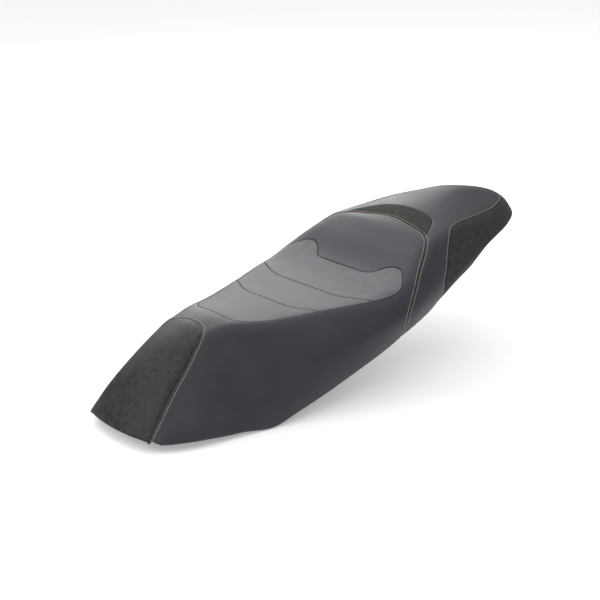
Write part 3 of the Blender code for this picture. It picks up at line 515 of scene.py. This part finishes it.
nose_side = run(NOSE_SEAM[4:], 10 * FINE, near=GATHER)
nose_top = run(NOSE_SEAM[:5], 9 * FINE)
nose_seam = joined(nose_top, nose_side)
insert_front = run(INSERT_FRONT, 9 * FINE)
insert_rear = run(INSERT_REAR, 9 * FINE)[::-1]
side_a = run(INSERT_SIDE_A, 5 * FINE, GATHER, GATHER)
side_b = run(INSERT_SIDE_B, 4 * FINE, GATHER, GATHER)
side_c = run(INSERT_SIDE_C, 4 * FINE, GATHER, GATHER)
fold_a = run(FOLD_A, 9 * FINE, far=GATHER)
fold_b = run(FOLD_B, 9 * FINE, far=GATHER)
outline = joined(insert_front, side_a, side_b, side_c, insert_rear[::-1])
step_upper = run(STEP_SEAM[:6], 4 * FINE)
step_middle = run(STEP_SEAM[5:9], 5 * FINE)
step_lower = run(STEP_SEAM[8:], 6 * FINE, near=GATHER)
step_seam = joined(step_upper, step_middle, step_lower)
bridge_side = run((NOSE_SEAM[4], INSERT_SIDE_A[0]), 4 * FINE, GATHER, GATHER)
rest_side = run((INSERT_REAR[0], STEP_SEAM[8]), 6 * FINE, GATHER, GATHER)
patch_rear = run(PATCH_REAR, 4 * FINE)
patch_side = run(PATCH_SIDE, 4 * FINE)
patch_outline = joined(patch_rear, patch_side)
tail_top = run(TAIL_SEAM_TOP, 12 * FINE, near=GATHER)
tail_side = joined(run(TAIL_SEAM_SIDE, 5 * FINE), run(TAIL_SEAM_CORNER, 2 * FINE, far=GATHER))
tail_seam = joined(tail_side, tail_top)

nose_grid = patch(run(((NOSE_LIP, 0.0), (NOSE_LIP, 0.50)), 9 * FINE, far=GATHER),
                  run(NOSE_SEAM[:5], 9 * FINE, far=GATHER),
                  run(((NOSE_LIP, 0.0), (0.141, 0.0)), 10 * FINE, far=GATHER), nose_side[::-1])
cover("nose_cover_panel", [nose_grid], [(nose_seam, ROLL)], GRAIN,
      ("nose_panel",), under_nose)
cover("insert_front_pad",
      [patch(run(INSERT_FRONT, 9 * FINE, far=GATHER), fold_a, middle_line(0.180, 0.282, 5),
             side_a)],
      [(outline, PRESS), (fold_a, PRESS)], GREY, ("rider_insert_front",))
cover("insert_middle_pad", [patch(fold_a, fold_b, middle_line(0.282, 0.361, 4), side_b)],
      [(outline, PRESS), (fold_a, PRESS), (fold_b, PRESS)], GREY,
      ("rider_insert_middle",))
cover("insert_rear_pad", [patch(fold_b, insert_rear, middle_line(0.361, 0.442, 4), side_c)],
      [(outline, PRESS), (fold_b, PRESS)], GREY, ("rider_insert_rear",))

skirt_top = joined(nose_side[::-1], bridge_side, side_a, side_b, side_c, rest_side)
skirt = patch(skirt_top, run(LOWER_EDGE, len(skirt_top) - 1), front_edge, step_lower)
bridge = patch(nose_top, insert_front, middle_line(0.141, 0.180, 4), bridge_side)
backrest = patch(insert_rear, joined(step_upper, step_middle), middle_line(0.442, 0.555, 6),
                 rest_side)
cover("rider_cover_skin", [bridge, skirt, backrest],
      [(nose_seam, ROLL), (step_seam, ROLL), (outline, PRESS)], CHARCOAL,
      ("rider_cover",), under_nose)

cover("step_cover_panel",
      [patch(step_upper, patch_rear, middle_line(0.555, 0.597, 4),
             run(PATCH_SIDE, 4 * FINE, GATHER, GATHER)[::-1])],
      [(step_seam, ROLL), (patch_outline, PRESS)], SUEDE, ("step_panel",))
rear_middle = joined(run(((0.597, 0.0), (U_END, 0.0)), 5 * FINE, near=GATHER),
                     run(((U_END, 0.0), (U_END, 0.365)), 4 * FINE, far=GATHER))
side_low = run(((0.434, 1.0), (0.532, 1.0)), 9 * FINE, GATHER, GATHER)
rear_skin = patch(joined(patch_rear, patch_side, step_middle, step_lower), tail_seam[::-1],
                  rear_middle, side_low, fade=3)
cover("passenger_cover_skin", [rear_skin],
      [(step_seam, ROLL), (patch_outline, PRESS), (tail_seam, ROLL)],
      CHARCOAL, ("passenger_cover",), under_edge)
band_low = run(((0.532, 1.0), (0.640, 1.0), (0.760, 1.0), (U_END, 1.0)), 12 * FINE, near=GATHER)
band_rear = run(((U_END, 0.365), (U_END, 1.0)), 7 * FINE, near=GATHER)
cover("tail_cover_band", [patch(tail_side, band_rear[::-1], band_low, tail_top)],
      [(tail_seam, ROLL)], SUEDE, ("tail_panel",),
      under_edge)


# ---------------------------------------------------------------- topstitching
STITCH = 0.0040            # pitch; coarser than the real 3 mm so that single stitches show
STITCH_GAP = 0.0008
THREAD_RADIUS = 0.00055
THREAD_SINK = 0.00025
NOSE_MARGIN = 0.0044       # from a seam to the row beside it
STEP_MARGIN = 0.0031
TAIL_MARGIN = 0.0030


def beside(places, away):
    """Places on the surface beside a run, away metres to its left seen from outside."""
    u, s = places[:, 0], places[:, 1]
    line = seat_point(u, s)
    tangent = np.gradient(line, axis=0)
    tangent = tangent / np.linalg.norm(tangent, axis=1)[:, None]
    along, around = seat_slopes(u, s)
    out = np.cross(around, along)
    out = out / np.linalg.norm(out, axis=1)[:, None]
    across = np.cross(out, tangent) * away
    aa, ab, bb = (along ** 2).sum(1), (along * around).sum(1), (around ** 2).sum(1)
    pa, pb = (across * along).sum(1), (across * around).sum(1)
    det = aa * bb - ab * ab
    moved = np.stack((u + (pa * bb - pb * ab) / det, s + (pb * aa - pa * ab) / det), -1)
    return np.clip(moved, (0.0, 0.0), (U_END, 0.998))


def length_along(points):
    """Distance from the first point to each, along the line through them."""
    return np.concatenate(((0.0,), np.cumsum(np.linalg.norm(np.diff(points, axis=0), axis=1))))


def at_length(where, long, values):
    return np.array([np.interp(where, long, values[:, k]) for k in range(3)])


def stitches(name, places, away):
    """Row of single stitches, each a short thread bowed between its two needle holes."""
    bm = bmesh.new()
    row = beside(places, away)
    points = placed(below(row[:, 0], row[:, 1], THREAD_SINK))
    normals = seat_normal(row[:, 0], row[:, 1])
    long = length_along(points)
    scale = ((STITCH - STITCH_GAP) / 2, THREAD_RADIUS, THREAD_RADIUS)
    for middle in np.arange(STITCH / 2, long[-1] - STITCH / 2, STITCH):
        ends = [at_length(middle + d, long, points) for d in (-0.001, 0.001)]
        out = at_length(middle, long, normals)
        forward = (ends[1] - ends[0]) / np.linalg.norm(ends[1] - ends[0])
        side = np.cross(out, forward)
        side = side / np.linalg.norm(side)
        out = np.cross(forward, side)
        turn = Matrix([(forward[k] * scale[0], side[k] * scale[1], out[k] * scale[2],
                        (ends[0][k] + ends[1][k]) / 2) for k in range(3)] + [(0, 0, 0, 1)])
        bmesh.ops.create_uvsphere(bm, u_segments=6, v_segments=5, radius=1.0,
                                  matrix=turn @ Matrix.Rotation(math.radians(90), 4, "Y"))
    bmesh.ops.mirror(bm, geom=bm.verts[:] + bm.edges[:] + bm.faces[:], axis="X", merge_dist=0.0)
    bmesh.ops.recalc_face_normals(bm, faces=bm.faces)
    shown(name, bm, THREAD)


nose_line = joined(run(NOSE_SEAM[:5], 60), run(NOSE_SEAM[4:], 60))
stitches("topstitch_nose", nose_line, NOSE_MARGIN)
step_line = joined(run(STEP_SEAM[:9], 90), run(STEP_SEAM[8:], 60))
stitches("topstitch_step_front", step_line, -STEP_MARGIN)
stitches("topstitch_step_rear", step_line, STEP_MARGIN)
tail_line = joined(run(TAIL_SEAM_SIDE, 60), run(TAIL_SEAM_CORNER, 30), run(TAIL_SEAM_TOP, 120))
stitches("topstitch_tail", tail_line, TAIL_MARGIN)


# ---------------------------------------------------------------- piping bedded in the seams
PIPING_RADIUS = 0.0008
PIPING_DEPTH = 0.0015


def piping(name, places, stands_for):
    """Round cord along both halves of a seam, bedded between the rolled edges."""
    half = placed(below(places[:, 0], places[:, 1], PIPING_DEPTH))
    start = 1 if abs(half[0][0]) < 1e-6 else 0
    path = np.concatenate((half[::-1] * (-1, 1, 1), half[start:]))
    curve = bpy.data.curves.new(name, "CURVE")
    curve.dimensions = "3D"
    curve.bevel_depth = PIPING_RADIUS
    curve.bevel_resolution = 2
    curve.use_fill_caps = True
    line = curve.splines.new("POLY")
    line.points.add(len(path) - 1)
    for point, co in zip(line.points, path):
        point.co = (*co, 1.0)
    curve.materials.append(PIPING)
    made = bpy.data.objects.new(name, curve)
    bpy.context.scene.collection.objects.link(made)
    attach(made, "seat")
    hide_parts(stands_for)


piping("piping_nose", joined(run(NOSE_SEAM[:5], 50), run(NOSE_SEAM[4:], 50)), "welt_nose")
piping("piping_step", joined(run(STEP_SEAM[:9], 70), run(STEP_SEAM[8:], 50)), "welt_step")
piping("piping_tail", tail_line[::-1], "welt_tail")


# ---------------------------------------------------------------- pan, foam and hardware
def refined(node, name, finish, body="seat", edge=0.0, corner=30.0):
    """Copy of a CAD piece made whole: loose triangles merged, sharp edges broken, rounds smooth."""
    bm = bmesh.new()
    bm.from_mesh(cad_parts[node].data)
    bmesh.ops.remove_doubles(bm, verts=bm.verts, dist=0.000002)
    bmesh.ops.dissolve_limit(bm, angle_limit=math.radians(0.6), verts=bm.verts, edges=bm.edges)
    if edge:
        sharp = [e for e in bm.edges if e.calc_face_angle(0.0) > math.radians(corner)]
        bmesh.ops.bevel(bm, geom=sharp, offset=edge, segments=2, profile=0.5, material=-1,
                        affect="EDGES", clamp_overlap=True)
    for e in bm.edges:
        e.smooth = e.calc_face_angle(0.0) < math.radians(40.0)
    made = shown(name, bm, finish, body, (node,))
    made.modifiers.new("flat_faces_stay_flat", "WEIGHTED_NORMAL").keep_sharp = True
    return made


refined("seat_pan", "pan_moulding", PLASTIC)
foam = refined("foam_core", "foam_core_block", FOAM)
refined("hinge_seat_leaf", "seat_leaf_pressing", ECOAT, edge=0.0003)
refined("hinge_frame_leaf", "frame_leaf_pressing", ECOAT, "frame_leaf", 0.0003)
refined("striker_plate", "striker_plate_blank", ZINC, edge=0.0003)
refined("striker_hoop", "striker_hoop_rod", ZINC)
refined("hinge_pin", "hinge_pin_turned", ZINC, edge=0.0003, corner=50.0)
refined("hinge_retaining_ring", "retaining_ring", ZINC, edge=0.0001, corner=50.0)
for side in ("left", "right"):
    refined("hinge_bush_" + side, "nylon_bush_" + side, NYLON, edge=0.0002,
            corner=50.0)
    for place in ("hinge", "striker"):
        refined(place + "_bolt_" + side, place + "_screw_" + side, ZINC,
                edge=0.0003, corner=50.0)
    for place in ("front", "mid", "rear", "tail"):
        refined("bumper_" + place + "_" + side, "rubber_foot_" + place + "_" + side, RUBBER,
                edge=0.0004, corner=50.0)


# ---------------------------------------------------------------- staples that hold the hem
STAPLE_CROWN = 0.0095
STAPLE_LEG = 0.0018
STAPLE_WIRE = 0.0007
STAPLE_PITCH = 0.021
HEM_IN = sum(step[0] for step in HEM_PATH)


def staple(bm, spot, forward, out):
    """Wire staple: a crown with broken edges and two short legs driven outwards."""
    turn = Matrix((forward, out.cross(forward), out)).transposed().to_4x4()
    leg_x = 0.5 * STAPLE_CROWN - STAPLE_WIRE / 2
    leg = (STAPLE_WIRE, STAPLE_WIRE, STAPLE_LEG)
    for centre, size in (((0.0, 0.0, 0.0), (STAPLE_CROWN, STAPLE_WIRE, STAPLE_WIRE)),
                         ((leg_x, 0.0, STAPLE_LEG / 2), leg),
                         ((-leg_x, 0.0, STAPLE_LEG / 2), leg)):
        seat = Matrix.Translation(spot) @ turn @ Matrix.Translation(centre)
        made = bmesh.ops.create_cube(bm, size=1.0, matrix=seat @ Matrix.Diagonal((*size, 1.0)))
        edges = {e for v in made["verts"] for e in v.link_edges}
        bmesh.ops.bevel(bm, geom=list(edges), offset=STAPLE_WIRE * 0.25, segments=1, profile=0.5,
                        material=-1, affect="EDGES")


wires = bmesh.new()
rear_edge = ((0.434, 1.0), (0.640, 1.0), (0.760, 1.0), (0.87, 1.0))
rim = joined(run(LOWER_EDGE, 300)[6:], run(rear_edge, 300))
rim_line = placed(seat_point(rim[:, 0], rim[:, 1]))
rim_in = -seat_normal(rim[:, 0], rim[:, 1]) * (1.0, 1.0, 0.0)
rim_in = rim_in / np.linalg.norm(rim_in, axis=1)[:, None]
rim_long = length_along(rim_line)
for middle in np.arange(0.024, rim_long[-1] - 0.010, STAPLE_PITCH):
    ends = [Vector(at_length(middle + d, rim_long, rim_line)) for d in (-0.004, 0.004)]
    inward = Vector(at_length(middle, rim_long, rim_in))
    forward = (ends[1] - ends[0]).normalized()
    out = -(inward - forward * inward.dot(forward)).normalized()
    spot = (ends[0] + ends[1]) / 2 - out * (HEM_IN + 0.0003) + Vector((0.0, 0.0, 0.0016))
    staple(wires, spot, forward, out)
bmesh.ops.mirror(wires, geom=wires.verts[:] + wires.edges[:] + wires.faces[:], axis="X",
                 merge_dist=0.0)
bmesh.ops.recalc_face_normals(wires, faces=wires.faces)
shown("hem_staples", wires, WIRE)


# ---------------------------------------------------------------- camera, stage and light
AZIMUTH = math.radians(48.143)
ELEVATION = math.radians(20.0)
view = Vector((-math.sin(AZIMUTH) * math.cos(ELEVATION), math.cos(AZIMUTH) * math.cos(ELEVATION),
               -math.sin(ELEVATION)))
lens = bpy.data.cameras.new("camera")
lens.sensor_width = 36.0
lens.lens = 84.897
camera = bpy.data.objects.new("camera", lens)
bpy.context.scene.collection.objects.link(camera)
camera.location = (1.55377, -1.44003, 0.88203)
camera.rotation_mode = "QUATERNION"
camera.rotation_quaternion = view.to_track_quat("-Z", "Y")
bpy.context.scene.camera = camera

disc = bmesh.new()
bmesh.ops.create_circle(disc, cap_ends=True, segments=96, radius=30.0,
                        matrix=Matrix.Translation((0.0, 0.0, -0.0022)))
floor_mesh = bpy.data.meshes.new("floor")
disc.to_mesh(floor_mesh)
disc.free()
floor = bpy.data.objects.new("floor", floor_mesh)
bpy.context.scene.collection.objects.link(floor)
paper = bpy.data.materials.new("white_sweep")
paper.use_nodes = True
paper_shader = paper.node_tree.nodes["Principled BSDF"]
paper_shader.inputs["Base Color"].default_value = hue("#F2F2F2")
paper_shader.inputs["Roughness"].default_value = 0.9
paper_shader.inputs["Emission Color"].default_value = hue("#FFFFFF")
paper_shader.inputs["Emission Strength"].default_value = 0.32
back = add(paper.node_tree, "ShaderNodeNewGeometry").outputs["Backfacing"]
clear = add(paper.node_tree, "ShaderNodeBsdfTransparent")
swap = add(paper.node_tree, "ShaderNodeMixShader", {0: back, 1: paper_shader.outputs[0],
                                                    2: clear.outputs[0]})
paper.node_tree.links.new(swap.outputs[0], paper.node_tree.nodes["Material Output"].inputs[0])
floor_mesh.materials.append(paper)

world = bpy.data.worlds.new("studio")
bpy.context.scene.world = world
world.use_nodes = True
world.node_tree.nodes["Background"].inputs["Color"].default_value = hue("#F7F8FA")
world.node_tree.nodes["Background"].inputs["Strength"].default_value = 0.22
bpy.context.scene.view_settings.view_transform = "Standard"


def softbox(name, spot, aim, size, power):
    """Square area lamp at spot, facing aim."""
    lamp = bpy.data.lights.new(name, "AREA")
    lamp.size = size
    lamp.energy = power
    made = bpy.data.objects.new(name, lamp)
    bpy.context.scene.collection.objects.link(made)
    made.location = spot
    made.rotation_mode = "QUATERNION"
    made.rotation_quaternion = (Vector(aim) - Vector(spot)).to_track_quat("-Z", "Y")


softbox("ceiling_softbox", (0.0, 0.0, 6.0), (0.0, 0.0, 0.0), 14.0, 560)
softbox("left_softbox", (-2.2, 0.2, 1.5), (0.0, 0.0, 0.1), 1.6, 22)
softbox("back_softbox", (-1.95, 1.45, 0.95), (0.0, 0.25, 0.2), 0.9, 17)
softbox("front_softbox", (1.1, -2.3, 0.9), (0.0, -0.1, 0.1), 1.0, 9)
softbox("nose_softbox", (-1.1, -2.1, 1.5), (0.0, -0.3, 0.1), 1.0, 10)
